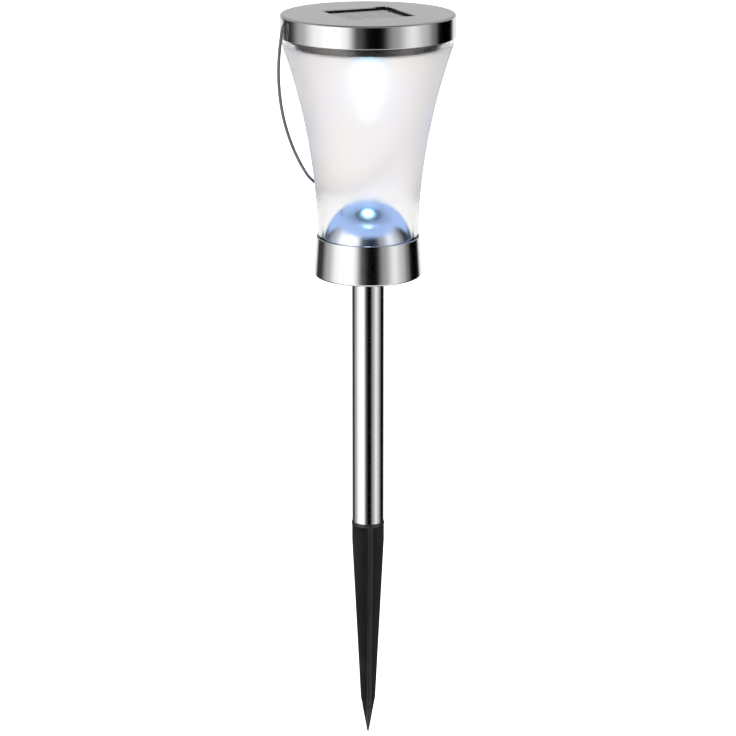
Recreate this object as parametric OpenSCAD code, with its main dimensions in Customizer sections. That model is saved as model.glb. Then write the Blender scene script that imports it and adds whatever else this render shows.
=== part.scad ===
// Solar garden light: a flared lantern with a hanging bail, on a pole with a ground spike.
// The origin is on the pole's axis at ground level, where the spike's shoulder meets the pole.
// +Z is up, X is the bail's pivot axis, and the bail hangs on the +Y side.

/* [Pole] */
// Outer diameter of the pole tube
pole_d = 19; // [16:0.5:26]
// Wall of the pole tube
pole_wall = 0.6; // [0.4:0.1:1.5]
// Length of pole that shows between the spike and the collar
pole_show_l = 150; // [80:5:400]
// Length of pole inside the lantern's socket
pole_socket_l = 25; // [16:1:30]

/* [Ground spike] */
// Length of the spike below ground level
spike_l = 135.5; // [90:0.5:220]
// Length of the sharp point
spike_point_l = 22.5; // [12:0.5:35]
// Reach of the fins where the point begins
spike_end_r = 4.4; // [3:0.1:6]
// Straight length of the fins under the shoulder
spike_straight_l = 12; // [4:1:30]
// Thickness of each fin
fin_t = 2.8; // [2:0.1:4]
// Turn of the fins about the pole, in degrees
spike_turn = -15; // [-45:1:45]
// Thickness of the shoulder that carries the pole
shoulder_t = 2; // [1.5:0.5:5]
// How far the shoulder stands out past the pole
shoulder_lip = 0.3; // [0:0.1:2]
// Length of the plug inside the pole
plug_l = 30; // [20:1:50]

/* [Collar and base] */
// Height of the steel collar
collar_h = 22.8; // [20:0.2:32]
// How much wider the collar's foot is than its top, on the radius
collar_flare = 1.5; // [0:0.1:5]
// Sheet thickness of the collar
collar_wall = 0.6; // [0.4:0.1:1.2]
// Rounding of the collar's lower edge
collar_edge_r = 1.4; // [0.8:0.1:3]
// Width of the collar's standing rim
collar_rim_w = 3.6; // [3:0.1:5]
// Height of the collar's floor above its standing rim
collar_floor_h = 2; // [1.6:0.1:3]
// Depth of the lens inside the collar
lens_tuck = 6; // [4:0.5:9]
// Thickness of the base plate and of the pole socket's roof
base_plate_t = 2.5; // [2:0.1:4]
// Wall of the pole socket
socket_wall = 2.4; // [1.6:0.1:4]
// Height of the dome reflector above the lens's foot
dome_h = 25; // [15:0.5:26]

/* [Lens] */
// Outer diameter of the lens at its foot
lens_foot_d = 57.6; // [50:0.2:70]
// Outer diameter of the lens at its rim
lens_rim_d = 97.2; // [84:0.2:120]
// Height of the flared part of the lens
lens_flare_h = 117; // [80:1:160]
// Height of the upright rim
lens_rim_h = 10.6; // [9:0.2:16]
// Wall of the lens
lens_wall = 2; // [1.5:0.1:3]

/* [Cap] */
// Height of the steel cap
cap_h = 12.5; // [11:0.1:18]
// Sheet thickness of the cap
cap_wall = 0.6; // [0.4:0.1:1]
// Rounding of the cap's upper edge
cap_edge_r = 1.4; // [0.8:0.1:3]
// Side of the square window over the solar panel
window_w = 41; // [34:0.5:44]

/* [Solar panel] */
// Side of the square solar panel
panel_w = 45; // [40:0.5:50]
// Thickness of the panel's circuit board
panel_board_t = 1; // [0.8:0.1:1.6]
// Thickness of the silicon strips
cell_t = 0.2; // [0.1:0.05:0.4]
// Number of silicon strips in series
cell_count = 4; // [2:1:8]
// Thickness of the clear resin over the cells
resin_t = 0.8; // [0.5:0.1:1.5]
// Thickness of the foam frame under the window's edge
frame_t = 0.8; // [0.5:0.1:1.5]

/* [Solar module] */
// Floor thickness of the panel tray
tray_floor_t = 2.7; // [2:0.1:4]
// Thickness of the silicone seal on the lens's rim
seal_t = 0.8; // [0.5:0.1:1.5]
// Outer diameter of the module case below its shoulder
case_d = 83.6; // [78:0.2:88]
// Wall of the module case
case_wall = 1.8; // [1.4:0.1:2.5]
// Floor thickness of the module case
case_floor_t = 1.6; // [1.2:0.1:2.5]
// Height of the part of the case that shows below its shoulder
case_band_h = 4.1; // [2:0.1:5]
// Thickness of the O-ring's cord
oring_t = 2.8; // [2:0.1:3]
// Distance of the battery from the module's centre line
battery_y = 20; // [18:0.5:22]
// Diameter of the rechargeable cell
battery_d = 10.5; // [9:0.1:11]
// Length of the rechargeable cell, with its button
battery_l = 44.5; // [40:0.5:46]
// Room at each end of the cell for its contacts
contact_room = 3.6; // [3:0.1:5]
// Distance of the control board from the module's centre line
board_y = 19; // [17:0.5:22]
// Thickness of the battery door
door_t = 1; // [0.8:0.1:1.2]
// Travel of the switch knob
switch_travel = 2; // [1.5:0.1:3]
// Diameter of the LED's body
led_d = 5; // [3:0.5:6]
// Mouth diameter of the LED's reflector
bezel_d = 16; // [12:0.5:20]
// Height of the LED's reflector
bezel_h = 7; // [5:0.5:9]

/* [Bail] */
// Diameter of the bail's wire
wire_d = 1.8; // [1.4:0.1:2.4]
// Depth of the pivot holes below the cap's top
pivot_drop = 3.1; // [2.6:0.1:5]
// Lean of the resting bail from the vertical, in degrees
bail_lean = 18; // [18:0.5:30]
// Outward splay of the legs at the pivots, in degrees
bail_splay = 4; // [0:0.5:10]
// Radius of the long curve of each leg
bail_leg_r = 150; // [130:5:200]
// Slope at which the legs meet the bottom curve, in degrees
bail_turn = 34; // [25:1:45]
// Radius of the short bend at each pivot
bail_bend_r = 2; // [1.6:0.1:3]
// Gap between the cap's side and the bail's legs
bail_side_gap = 0.65; // [0.4:0.05:1.5]

/* [Fasteners] */
// Thread diameter of the self-tapping screws
screw_d = 2.4; // [2:0.1:3]
// Head diameter of the self-tapping screws
screw_head_d = 4.4; // [4:0.1:5]
// Head height of the self-tapping screws
screw_head_t = 1.2; // [1:0.1:1.6]

/* [Fits] */
// Radial clearance of parts that slide on each other
slide_gap = 0.08; // [0.05:0.01:0.1]
// Radial clearance of the spike's plug in the pole
plug_gap = 0.1; // [0.05:0.01:0.3]
// Clearance around parts that are set in a pocket
seat_gap = 0.2; // [0.1:0.05:0.4]
// Radial clearance between the lens's foot and the collar
collar_gap = 0.4; // [0.3:0.1:1]
// Radial clearance between the lens's rim and the cap
cap_gap = 0.85; // [0.8:0.05:1.5]
// Radial clearance of the bail's wire in its holes
pivot_gap = 0.25; // [0.1:0.05:0.5]
// Least gap between the resting bail and the lens
bail_lens_gap = 2; // [0.5:0.25:4]

/* [Hidden] */
$fn = 96;
EPS = 0.01;

steel = [0.80, 0.81, 0.82];
black_plastic = [0.10, 0.10, 0.11];
clear_white = [0.93, 0.93, 0.96, 0.6];
chrome = [0.88, 0.89, 0.92];
silicone = [0.35, 0.35, 0.37];
silicon_blue = [0.05, 0.07, 0.16];
board_green = [0.10, 0.35, 0.18];
lead_red = [0.65, 0.12, 0.10];

// Pole, and what fits it
pole_r = pole_d / 2;
pole_bore_r = pole_r - pole_wall;
socket_r = pole_r + slide_gap;
socket_out_r = socket_r + socket_wall;

// Base, from the collar's foot upwards
collar_z = pole_show_l;
collar_top_z = collar_z + collar_h;
lens_foot_r = lens_foot_d / 2;
lens_foot_z = collar_top_z - lens_tuck;
collar_top_r = lens_foot_r + collar_gap + collar_wall;
collar_foot_r = collar_top_r + collar_flare;
collar_slope = collar_flare / collar_h;
base_plate_z = lens_foot_z - base_plate_t;
socket_lift = 0.4;
socket_z = collar_z + socket_lift;
socket_roof_z = collar_z + pole_socket_l;
socket_top_z = socket_roof_z + base_plate_t;
pole_top_z = socket_roof_z;

// Holes for the self-tapping screws, and the walls of their bosses
screw_head_r = screw_head_d / 2;
screw_pilot_r = screw_d / 2 + 0.05;
screw_hole_gap = 0.2;
screw_hole_r = screw_d / 2 + screw_hole_gap;
head_hole_r = screw_head_r + screw_hole_gap;
base_boss_wall = 1.5;
case_boss_wall = 1.6;
board_post_wall = 1.1;

// Screws of the base: three hold the collar's floor, three hold the dome
skirt_t = 2;
skirt_r = lens_foot_r - skirt_t / 2;
base_boss_r = screw_d / 2 + base_boss_wall;
skirt_lap = 0.4;
head_room = 0.6;
collar_land = 1.5;
collar_screw_r = skirt_r - base_boss_r - skirt_lap;
collar_floor_z = collar_z + collar_floor_h;
collar_floor_r = collar_foot_r - collar_rim_w;
collar_eye_r = collar_screw_r - screw_head_r - collar_land;
skirt_z = collar_floor_z + collar_wall;
base_screw_angles = [30, 150, 270];
dome_screw_angles = [90, 210, 330];
dome_screw_r = socket_out_r + screw_head_r + head_room;
base_screw_l = 8;
collar_screw_l = 8;

// Lens
lens_rim_r = lens_rim_d / 2;
lens_rim_z = lens_foot_z + lens_flare_h;
lens_top_z = lens_rim_z + lens_rim_h;
lens_bore_r = lens_rim_r - lens_wall;
flare_w = lens_rim_r - lens_foot_r;
flare_r = (pow(lens_flare_h, 2) + pow(flare_w, 2)) / (2 * flare_w);
lens_floor_hole_r = dome_screw_r + base_boss_r + head_room;

// Dome reflector
dome_flange_t = 1.6;
dome_wall = 1.5;
dome_gap = 0.4;
dome_flange_z = lens_foot_z + lens_wall;
dome_base_r = lens_foot_r - lens_wall - dome_gap;
dome_z = dome_flange_z + dome_flange_t;
dome_rise = dome_h - dome_flange_t;
dome_r = (pow(dome_base_r, 2) + pow(dome_rise, 2)) / (2 * dome_rise);
dome_centre_z = dome_z + dome_rise - dome_r;

// Head, from the lens's rim upwards
tray_z = lens_top_z + seal_t;
panel_z = tray_z + tray_floor_t;
cell_z = panel_z + panel_board_t;
resin_z = cell_z + cell_t;
frame_z = resin_z + resin_t;
cap_under_z = frame_z + frame_t;
cap_top_z = cap_under_z + cap_wall;
cap_z = cap_top_z - cap_h;
cap_bore_r = lens_rim_r + cap_gap;
cap_r = cap_bore_r + cap_wall;
tray_r = cap_bore_r - seat_gap;
// The hem is rolled as large as the room beside the lens allows
hem_limit_r = 0.5;
hem_r = min(hem_limit_r, (cap_gap - seat_gap + cap_wall) / 2);

// Module case, hung under the tray
battery_head_room = 0.7;
case_h = case_floor_t + battery_d + battery_head_room;
case_z = tray_z - case_h;
case_floor_z = case_z + case_floor_t;
case_r = case_d / 2;
shoulder_gap = 1.4;
case_shoulder_r = lens_bore_r - shoulder_gap;
case_shoulder_z = case_z + case_band_h;
oring_gap = 0.1;
oring_r = lens_bore_r - oring_gap - oring_t / 2;
groove_lip_t = 1.6;
groove_gap = 0.05;
groove_h = oring_t + 2 * groove_gap;
oring_z = case_shoulder_z + groove_lip_t + oring_t / 2;
groove_r = oring_r - oring_t / 2 - groove_gap;

// Battery compartment
battery_lift = 0.1;
battery_side_room = 0.7;
battery_z = case_floor_z + battery_lift + battery_d / 2;
battery_room_l = battery_l + 2 * contact_room;
battery_room_w = battery_d + 2 * battery_side_room;
room_wall = 1.2;
button_l = 1.2;
button_r = 1.9;
contact_w = battery_d * 0.7;
contact_t = 0.4;
door_lap = 2;
door_l = battery_room_l + 2 * door_lap;
door_w = battery_room_w;
door_ledge = 1.4;
door_ear_r = screw_head_r + 1;
door_ear_lap = 0.4;
door_screw_x = door_l / 2 + screw_head_r - door_ear_lap;
door_screw_l = 6.5;
door_screw_sink = 0.4;

// Case screws
case_boss_r = screw_d / 2 + case_boss_wall;
case_screw_angles = [0, 90, 180, 270];
case_screw_bite = 3;
case_screw_r = case_r - case_wall - case_boss_r - seat_gap;
case_screw_l = case_h + case_screw_bite;

// Control board and what is on it
board_size = [32, 14, 1.2];
board_post_h = 4.2;
board_z = case_floor_z + board_post_h;
board_top_z = board_z + board_size[2];
board_screw_inset = 3;
board_screw_x = board_size[0] / 2 - board_screw_inset;
board_post_r = screw_d / 2 + board_post_wall;
board_screw_l = 4.5;
inductor_l = 7;
inductor_pin_r = 0.3;
inductor_pin_l = 1.1;
inductor_r = 1.7;
capacitor_r = 2.2;
capacitor_h = 4.6;

// Switch
switch_size = [11, 6, board_post_h];
switch_y = board_y;
knob_size = [2.2, 1.8];
knob_out = 2;
knob_gap = 0.3;
knob_foot_lap = [1.6, 1.2];
knob_foot = [knob_size[0] + knob_foot_lap[0], knob_size[1] + knob_foot_lap[1], 1];
knob_rest_x = switch_travel / 2;

// LED
led_r = led_d / 2;
led_flange_w = 0.4;
led_flange_r = led_r + led_flange_w;
led_flange_t = 1;
led_body_l = 7.6;
led_drop = 0.1;
led_seat_z = case_z - led_drop;
led_tip_z = led_seat_z - led_body_l;
led_lead_pitch = 2.54;
led_lead_r = 0.25;
led_hole_r = 0.6;
led_rim_wall = 1.2;
led_rim_r = led_flange_r + 0.6;
led_rim_h = 2;
bezel_wall = 1;
bezel_lip = 0.8;
bezel_neck_r = led_flange_r + seat_gap;

// Bail
wire_r = wire_d / 2;
pivot_z = cap_top_z - pivot_drop;
leg_x = cap_r + bail_side_gap + wire_r;
pin_head_lap = 0.5;
pin_head_r = wire_r + pin_head_lap;
pin_head_t = 0.8;
pin_reach = 2.2;
pin_in_x = cap_bore_r - pin_reach;
pin_pocket_gap = 0.6;
pocket_x = pin_in_x - pin_pocket_gap;
pin_l = leg_x - bail_bend_r - pin_in_x;
pin_bite = 1;
leg_join = bend_end([leg_x - bail_bend_r, 0], bail_bend_r, 0, 90 - bail_splay);
leg_end = bend_end(leg_join, bail_leg_r, 90 - bail_splay, 90 + bail_turn);
bottom_r = leg_end[0] / cos(bail_turn);
half_bail = concat(
    [[leg_x - bail_bend_r - pin_bite, 0]],
    arc_run([leg_x - bail_bend_r, 0], bail_bend_r, 0, 90 - bail_splay, 6),
    arc_run(leg_join, bail_leg_r, 90 - bail_splay, 90 + bail_turn, 16),
    arc_run(leg_end, bottom_r, 90 + bail_turn, 180, 10)
);
half_count = len(half_bail);

// The bail hangs at its lean, or as far out as a wide lens holds it
lens_lean = max([for (p = half_bail) if (p[1] > pivot_z - cap_z) lean_past_lens(p)]);
rest_lean = max(bail_lean, lens_lean);

// Leads inside the module
lead_r = 0.6;
panel_lead_r = 0.5;
lead_bend = 1;
led_lead_bend = 0.7;
panel_lead_y = 9;
panel_lead_x = 1.1;
solder_y = board_y - 5.6;

// ---- Shared shapes ----

// A ring between two radii and two heights
module ring(r_in, r_out, z0, z1) {
    translate([0, 0, z0])
        difference() {
            cylinder(r = r_out, h = z1 - z0);
            translate([0, 0, -1]) cylinder(r = r_in, h = z1 - z0 + 2);
        }
}

// A plate centred in X and Y, with rounded upright edges
module plate(size, r, z0) {
    translate([0, 0, z0])
        linear_extrude(size[2])
            rounded_square([size[0], size[1]], r);
}

module rounded_square(size, r) {
    square([size[0] - 2 * r, size[1]], center = true);
    square([size[0], size[1] - 2 * r], center = true);
    for (x = [-1, 1], y = [-1, 1])
        translate([x * (size[0] / 2 - r), y * (size[1] / 2 - r)]) circle(r);
}

module box(size, z0) {
    translate([-size[0] / 2, -size[1] / 2, z0]) cube(size);
}

// A pan-head screw that points up from z, with a cross recess in its head
module screw_up(l) {
    difference() {
        union() {
            cylinder(d = screw_head_d, h = screw_head_t);
            cylinder(d = screw_d, h = l - screw_d / 2);
            translate([0, 0, l - screw_d / 2])
                cylinder(d1 = screw_d, d2 = 0.4, h = screw_d / 2);
        }
        for (a = [0, 90])
            rotate([0, 0, a])
                translate([-screw_d / 2, -0.25, -EPS]) cube([screw_d, 0.5, 0.6 + EPS]);
    }
}

// Places children at angles around the pole's axis
module around(r, angles) {
    for (a = angles) rotate([0, 0, a]) translate([r, 0, 0]) children();
}

// The point where an arc of radius r ends, from p, as its heading goes from h0 to h1.
// Coordinates are (outwards, down), and a heading of 0 points outwards and 90 points down.
function bend_end(p, r, h0, h1) =
    [p[0] + r * (sin(h1) - sin(h0)), p[1] + r * (cos(h0) - cos(h1))];

// Points along such an arc, without its first one
function arc_run(p, r, h0, h1, n) = [for (i = [1 : n]) bend_end(p, r, h0, h0 + (h1 - h0) * i / n)];

// Outer radius of the lens at a height
function lens_r_at(z) =
    z > lens_rim_z ? lens_rim_r : lens_foot_r + flare_r - sqrt(pow(flare_r, 2) - pow(z - lens_foot_z, 2));

// Lean at which a point of the bail clears the lens
function lean_past_lens(p) =
    let (r = lens_r_at(pivot_z - p[1] * cos(bail_lean)) + wire_r + bail_lens_gap)
    asin(sqrt(max(0, r * r - p[0] * p[0])) / p[1]);

// Points of a route with each corner rounded over a length r on both sides
function rounded(route, r) = concat(
    [route[0]],
    [for (i = [1 : len(route) - 2]) each corner(route[i - 1], route[i], route[i + 1], r)],
    [route[len(route) - 1]]
);

function corner(a, b, c, r) =
    let (
        p = b + r * (a - b) / norm(a - b),
        q = b + r * (c - b) / norm(c - b)
    )
    [for (t = [0 : 0.25 : 1]) pow(1 - t, 2) * p + 2 * t * (1 - t) * b + t * t * q];

// A round wire along points, none of whose runs is parallel to the side direction
module wire(points, r, sides = 8, side = [1, 0, 0]) {
    n = len(points);
    rings = [for (i = [0 : n - 1])
        let (
            d = points[min(i + 1, n - 1)] - points[max(i - 1, 0)],
            t = d / norm(d),
            w = cross(t, side),
            u = w / norm(w),
            v = cross(t, u)
        )
        [for (k = [0 : sides - 1]) points[i] + r * (cos(360 * k / sides) * u + sin(360 * k / sides) * v)]];
    skin = [for (i = [0 : n - 2], k = [0 : sides - 1])
        let (m = (k + 1) % sides)
        [i * sides + k, (i + 1) * sides + k, (i + 1) * sides + m, i * sides + m]];
    first = [for (k = [0 : sides - 1]) k];
    last = [for (k = [sides - 1 : -1 : 0]) (n - 1) * sides + k];
    polyhedron([for (p = rings) each p], concat(skin, [first, last]), convexity = 10);
}

// ---- Ground spike and pole ----

// Outline of the fins, as a solid of revolution that the crossed plates are cut to
module spike_envelope() {
    rotate_extrude()
        polygon([
            [0, 0],
            [pole_r, 0],
            [pole_r, -spike_straight_l],
            [spike_end_r, -spike_l + spike_point_l],
            [0.5, -spike_l + 0.4],
            [0, -spike_l]
        ]);
}

module ground_spike() {
    plug_r = pole_bore_r - plug_gap;
    color(black_plastic)
        rotate([0, 0, spike_turn]) {
            intersection() {
                spike_envelope();
                for (a = [0, 90])
                    rotate([0, 0, a])
                        translate([-pole_r, -fin_t / 2, -spike_l])
                            cube([pole_d, fin_t, spike_l]);
            }
            translate([0, 0, -shoulder_t])
                cylinder(r = pole_r + shoulder_lip, h = shoulder_t);
            difference() {
                for (a = [0, 90])
                    rotate([0, 0, a])
                        intersection() {
                            translate([-plug_r, -fin_t / 2, 0]) cube([2 * plug_r, fin_t, plug_l]);
                            cylinder(r = plug_r, h = plug_l);
                        }
                translate([0, 0, plug_l - 3])
                    difference() {
                        cylinder(r = plug_r + 1, h = 4);
                        cylinder(r1 = plug_r, r2 = plug_r - 3, h = 4);
                    }
            }
            // Ring ribs that centre the plug in the pole
            for (z = [2, plug_l - 6])
                translate([0, 0, z]) cylinder(r = plug_r, h = 2);
        }
}

module pole() {
    color(steel) ring(pole_bore_r, pole_r, 0, pole_top_z);
}

// ---- Lantern base ----

// Outline of the collar, drawn in by inset: a cone with a rounded lower edge and a raised floor
module collar_outline(inset) {
    foot_r = collar_foot_r - inset;
    top_r = collar_top_r - inset;
    edge_r = collar_edge_r - inset;
    translate([0, collar_z])
        difference() {
            union() {
                difference() {
                    polygon([
                        [0, inset],
                        [foot_r - inset * collar_slope, inset],
                        [top_r, collar_h + EPS],
                        [0, collar_h + EPS]
                    ]);
                    translate([foot_r - edge_r, 0]) square([edge_r + 1, inset + edge_r]);
                }
                translate([foot_r - edge_r - edge_r * collar_slope, inset + edge_r]) circle(edge_r);
            }
            translate([-2 * foot_r, -1])
                square([2 * foot_r + collar_floor_r + inset, 1 + collar_floor_h + inset]);
            translate([-2 * foot_r, 0]) square([2 * foot_r, collar_h + 1]);
        }
}

module collar() {
    lip_r = collar_wall / 2 + 0.05;
    color(steel)
        difference() {
            union() {
                rotate_extrude()
                    difference() {
                        collar_outline(0);
                        collar_outline(collar_wall);
                        translate([0, collar_z - 1]) square([collar_eye_r, collar_h]);
                        translate([0, collar_top_z]) square([collar_foot_r, 1]);
                    }
                // Rolled lip at the top
                rotate_extrude() translate([collar_top_r - lip_r, collar_top_z]) circle(lip_r);
            }
            around(collar_screw_r, base_screw_angles)
                translate([0, 0, collar_floor_z - 1]) cylinder(r = screw_hole_r, h = 3);
        }
}

module base_insert() {
    web_z = skirt_z + 4;
    web_t = 1.6;
    color(black_plastic)
        difference() {
            union() {
                translate([0, 0, base_plate_z]) cylinder(r = lens_foot_r, h = base_plate_t);
                ring(skirt_r - skirt_t, skirt_r, skirt_z, base_plate_z + EPS);
                translate([0, 0, socket_z]) cylinder(r = socket_out_r, h = socket_top_z - socket_z);
                around(collar_screw_r, base_screw_angles)
                    translate([0, 0, skirt_z]) cylinder(r = base_boss_r, h = base_plate_z - skirt_z + EPS);
                // Webs from the socket to the skirt
                for (a = [0 : 60 : 300])
                    rotate([0, 0, a])
                        translate([socket_out_r - 0.5, -web_t / 2, web_z])
                            cube([skirt_r - socket_out_r - 1, web_t, base_plate_z - web_z + EPS]);
            }
            translate([0, 0, collar_z]) cylinder(r = socket_r, h = socket_roof_z - collar_z);
            around(collar_screw_r, base_screw_angles)
                translate([0, 0, collar_z])
                    cylinder(r = screw_pilot_r, h = collar_floor_h + collar_screw_l + 1);
            around(dome_screw_r, dome_screw_angles)
                translate([0, 0, base_plate_z - 1]) cylinder(r = screw_hole_r, h = base_plate_t + 2);
        }
}

module collar_screws() {
    color(steel)
        around(collar_screw_r, base_screw_angles)
            translate([0, 0, collar_floor_z - screw_head_t]) screw_up(collar_screw_l);
}

module base_screws() {
    color(steel)
        around(dome_screw_r, dome_screw_angles)
            translate([0, 0, base_plate_z - screw_head_t]) screw_up(base_screw_l + screw_head_t);
}

module dome_reflector() {
    boss_foot_z = base_plate_z + base_plate_t;
    color(chrome)
        difference() {
            union() {
                difference() {
                    union() {
                        translate([0, 0, dome_flange_z]) cylinder(r = dome_base_r, h = dome_flange_t);
                        intersection() {
                            translate([0, 0, dome_centre_z]) sphere(dome_r);
                            translate([0, 0, dome_z]) cylinder(r = dome_base_r + 1, h = dome_rise + 1);
                        }
                    }
                    intersection() {
                        translate([0, 0, dome_centre_z]) sphere(dome_r - dome_wall);
                        translate([0, 0, dome_z]) cylinder(r = dome_base_r + 1, h = dome_rise + 1);
                    }
                    translate([0, 0, dome_flange_z - 1])
                        cylinder(r = lens_floor_hole_r, h = dome_flange_t + 1 + EPS);
                }
                // Bosses for the base screws, trimmed to the dome's inside
                intersection() {
                    around(dome_screw_r, dome_screw_angles)
                        translate([0, 0, boss_foot_z]) cylinder(r = base_boss_r, h = dome_h);
                    union() {
                        translate([0, 0, dome_centre_z]) sphere(dome_r - dome_wall / 2);
                        translate([0, 0, boss_foot_z]) cylinder(r = lens_floor_hole_r, h = 4);
                    }
                }
            }
            around(dome_screw_r, dome_screw_angles)
                translate([0, 0, boss_foot_z - 1]) cylinder(r = screw_pilot_r, h = base_screw_l);
        }
}

// ---- Lens ----

// Region inside the flared outline, drawn in by inset
module flare_outline(inset) {
    difference() {
        translate([0, lens_foot_z]) square([lens_rim_r - inset, lens_flare_h]);
        translate([lens_foot_r + flare_r, lens_foot_z]) circle(flare_r + inset, $fn = 200);
    }
}

module lens() {
    color(clear_white)
        difference() {
            union() {
                rotate_extrude() flare_outline(0);
                translate([0, 0, lens_rim_z - EPS]) cylinder(r = lens_rim_r, h = lens_rim_h + EPS);
            }
            difference() {
                rotate_extrude() flare_outline(lens_wall);
                translate([0, 0, lens_foot_z - 1]) cylinder(r = lens_foot_r + 1, h = lens_wall + 1);
            }
            translate([0, 0, lens_rim_z - 2 * EPS]) cylinder(r = lens_bore_r, h = lens_rim_h + 1);
            translate([0, 0, lens_foot_z - 1]) cylinder(r = lens_floor_hole_r, h = lens_wall + 2);
        }
}

// ---- Head ----

// Outline of the cap's body of revolution, drawn in by inset
module cap_outline(inset) {
    r = cap_r - inset;
    top = cap_top_z - inset;
    edge = cap_edge_r - inset;
    translate([0, cap_z]) square([r, top - edge - cap_z]);
    translate([0, cap_z]) square([r - edge, top - cap_z]);
    intersection() {
        translate([r - edge, top - edge]) circle(edge);
        translate([r - edge, top - edge]) square(edge);
    }
}

module cap() {
    color(steel)
        difference() {
            union() {
                difference() {
                    rotate_extrude() cap_outline(0);
                    rotate_extrude() cap_outline(cap_wall);
                    translate([0, 0, cap_z - 1]) cylinder(r = cap_bore_r, h = 2);
                }
                // Hem rolled inwards at the lower edge
                rotate_extrude() translate([cap_r - hem_r, cap_z]) circle(hem_r);
            }
            translate([0, 0, cap_under_z - 1])
                linear_extrude(cap_wall + 2)
                    rounded_square([window_w, window_w], 0.8);
            for (x = [-1, 1])
                translate([x * (cap_bore_r - 2), 0, pivot_z])
                    rotate([0, x * 90, 0]) cylinder(r = wire_r + pivot_gap, h = 5);
        }
}

module window_frame() {
    color(black_plastic)
        difference() {
            plate([panel_w, panel_w, frame_t], 1, frame_z);
            plate([window_w, window_w, frame_t + 2], 0.8, frame_z - 1);
        }
}

module panel_resin() {
    color([0.55, 0.60, 0.68, 0.45]) plate([panel_w, panel_w, resin_t], 1, resin_z);
}

module solar_cells() {
    gap = 0.5;
    active_w = window_w - 1;
    strip_w = (active_w - (cell_count - 1) * gap) / cell_count;
    color(silicon_blue)
        for (i = [0 : cell_count - 1])
            translate([-active_w / 2 + i * (strip_w + gap), -active_w / 2, cell_z])
                cube([strip_w, active_w, cell_t]);
}

module panel_board() {
    color([0.85, 0.86, 0.84]) plate([panel_w, panel_w, panel_board_t], 1, panel_z);
}

module panel_tray() {
    pocket_w = panel_w + 2 * seat_gap;
    color(black_plastic)
        difference() {
            union() {
                translate([0, 0, tray_z]) cylinder(r = tray_r, h = cap_under_z - tray_z - cap_edge_r);
                translate([0, 0, tray_z]) cylinder(r = tray_r - cap_edge_r, h = cap_under_z - tray_z);
            }
            plate([pocket_w, pocket_w, 20], 1, panel_z);
            // Pockets for the bail's pins
            for (x = [-1, 1])
                translate([x > 0 ? pocket_x : -tray_r - 1, -pin_head_r - 0.5, tray_z + 0.8])
                    cube([tray_r + 1 - pocket_x, 2 * pin_head_r + 1, 20]);
            // Passage for the panel's leads
            translate([0, panel_lead_y, tray_z - 1]) cylinder(r = 2.6, h = tray_floor_t + 2);
            // Pilots for the case screws
            around(case_screw_r, case_screw_angles)
                translate([0, 0, tray_z - 1]) cylinder(r = screw_pilot_r, h = 1 + case_screw_bite + 0.5);
            // Weight-saving recesses between the pocket and the rim
            for (a = [45 : 90 : 315])
                rotate([0, 0, a]) translate([tray_r - 12, 0, panel_z]) cylinder(r = 4.5, h = 20);
        }
}

module rim_seal() {
    color(silicone) ring(lens_bore_r - 1, lens_rim_r - 0.2, lens_top_z, tray_z);
}

module lens_o_ring() {
    color(silicone)
        translate([0, 0, oring_z])
            rotate_extrude() translate([oring_r, 0]) circle(oring_t / 2, $fn = 48);
}

// ---- Module case ----

module module_case() {
    room_size = [
        battery_room_l + 2 * room_wall,
        battery_room_w + 2 * room_wall,
        case_h - case_floor_t - 2 * seat_gap
    ];
    slot_size = [knob_size[0] + switch_travel + 2 * knob_gap, knob_size[1] + 2 * knob_gap, 4];
    door_boss_h = 8;
    color(black_plastic)
        difference() {
            union() {
                difference() {
                    union() {
                        translate([0, 0, case_z]) cylinder(r = case_r, h = case_h);
                        ring(case_r - EPS, case_shoulder_r, case_shoulder_z, tray_z);
                    }
                    translate([0, 0, case_floor_z]) cylinder(r = case_r - case_wall, h = case_h);
                    // Groove of the O-ring
                    ring(groove_r, case_shoulder_r + 1, oring_z - groove_h / 2, oring_z + groove_h / 2);
                }
                // Walls of the battery room, with ledges that carry the cell
                translate([0, -battery_y, 0])
                    difference() {
                        box(room_size, case_floor_z);
                        box([battery_room_l, battery_room_w, case_h], case_floor_z);
                    }
                // Boss of the door screw
                translate([door_screw_x, -battery_y, case_z]) cylinder(r = door_ear_r + 1, h = door_boss_h);
                around(case_screw_r, case_screw_angles)
                    translate([0, 0, case_z]) cylinder(r = case_boss_r, h = case_h);
                // Posts of the control board
                for (x = [-1, 1])
                    translate([x * board_screw_x, board_y, case_floor_z - EPS])
                        cylinder(r = board_post_r, h = board_z - case_floor_z + EPS);
                // Rim round the LED's leads
                ring(led_rim_r, led_rim_r + led_rim_wall, case_floor_z - EPS, case_floor_z + led_rim_h);
            }
            // Opening of the battery door, and the recess that its plate and ear lie in
            translate([0, -battery_y, 0]) {
                plate([battery_room_l - 2 * door_ledge, battery_room_w, 6], 1, case_z - 1);
                plate([door_l + 2 * seat_gap, door_w + 2 * seat_gap, door_t + 1], 1.2, case_z - 1);
            }
            translate([door_screw_x, -battery_y, case_z - 1]) {
                cylinder(r = door_ear_r + seat_gap, h = door_t + 1);
                cylinder(r = screw_pilot_r, h = door_boss_h);
            }
            // Counterbores and through holes of the case screws
            around(case_screw_r, case_screw_angles) {
                translate([0, 0, case_z - 1]) cylinder(r = head_hole_r, h = screw_head_t + 1);
                translate([0, 0, case_z]) cylinder(r = screw_hole_r, h = case_h + 1);
            }
            for (x = [-1, 1])
                translate([x * board_screw_x, board_y, case_floor_z]) cylinder(r = screw_pilot_r, h = 6);
            // Holes of the LED's leads
            for (x = [-1, 1])
                translate([x * led_lead_pitch / 2, 0, case_z - 1])
                    cylinder(r = led_hole_r, h = case_floor_t + 2);
            // Slot of the switch knob
            translate([0, switch_y, 0]) box(slot_size, case_z - 1);
        }
}

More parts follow.
